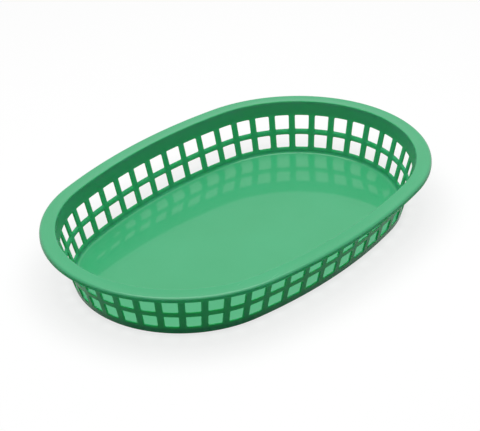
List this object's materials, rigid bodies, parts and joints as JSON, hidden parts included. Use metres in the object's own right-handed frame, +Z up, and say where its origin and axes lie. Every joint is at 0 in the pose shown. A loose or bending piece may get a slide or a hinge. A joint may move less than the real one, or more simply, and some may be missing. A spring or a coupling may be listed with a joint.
{
  "type": "plastic serving basket",
  "caption": "Shallow oval serving basket moulded in glossy green plastic, with a flat floor, an outward-leaning openwork wall and a broad smooth rim.",
  "frame": {"origin": "on the table under the middle of the basket, in the plane of its foot", "axes": "+X along the basket's length, +Y across it, +Z up out of its open top"},
  "size_m": [0.267, 0.18, 0.0353],
  "materials": {
    "green_plastic": "glossy moulded polypropylene, mid green, opaque"
  },
  "bodies": {
    "root": {"floor_panel": "green_plastic", "base_ring": "green_plastic", "mid_rail": "green_plastic", "upper_band": "green_plastic", "rim_flange": "green_plastic", "upright_01": "green_plastic", "upright_02": "green_plastic", "upright_03": "green_plastic", "upright_04": "green_plastic", "upright_05": "green_plastic", "upright_06": "green_plastic", "upright_07": "green_plastic", "upright_08": "green_plastic", "upright_09": "green_plastic", "upright_10": "green_plastic", "upright_11": "green_plastic", "upright_12": "green_plastic", "upright_13": "green_plastic", "upright_14": "green_plastic", "upright_15": "green_plastic", "upright_16": "green_plastic", "upright_17": "green_plastic", "upright_18": "green_plastic", "upright_19": "green_plastic", "upright_20": "green_plastic", "upright_21": "green_plastic", "upright_22": "green_plastic", "upright_23": "green_plastic", "upright_24": "green_plastic", "upright_25": "green_plastic", "upright_26": "green_plastic", "upright_27": "green_plastic", "upright_28": "green_plastic", "upright_29": "green_plastic", "upright_30": "green_plastic", "upright_31": "green_plastic", "upright_32": "green_plastic", "upright_33": "green_plastic", "upright_34": "green_plastic", "upright_35": "green_plastic", "upright_36": "green_plastic", "upright_37": "green_plastic", "upright_38": "green_plastic", "upright_39": "green_plastic", "upright_40": "green_plastic", "upright_41": "green_plastic", "upright_42": "green_plastic", "upright_43": "green_plastic", "upright_44": "green_plastic", "upright_45": "green_plastic", "upright_46": "green_plastic", "upright_47": "green_plastic", "upright_48": "green_plastic"}
  },
  "joints": []
}
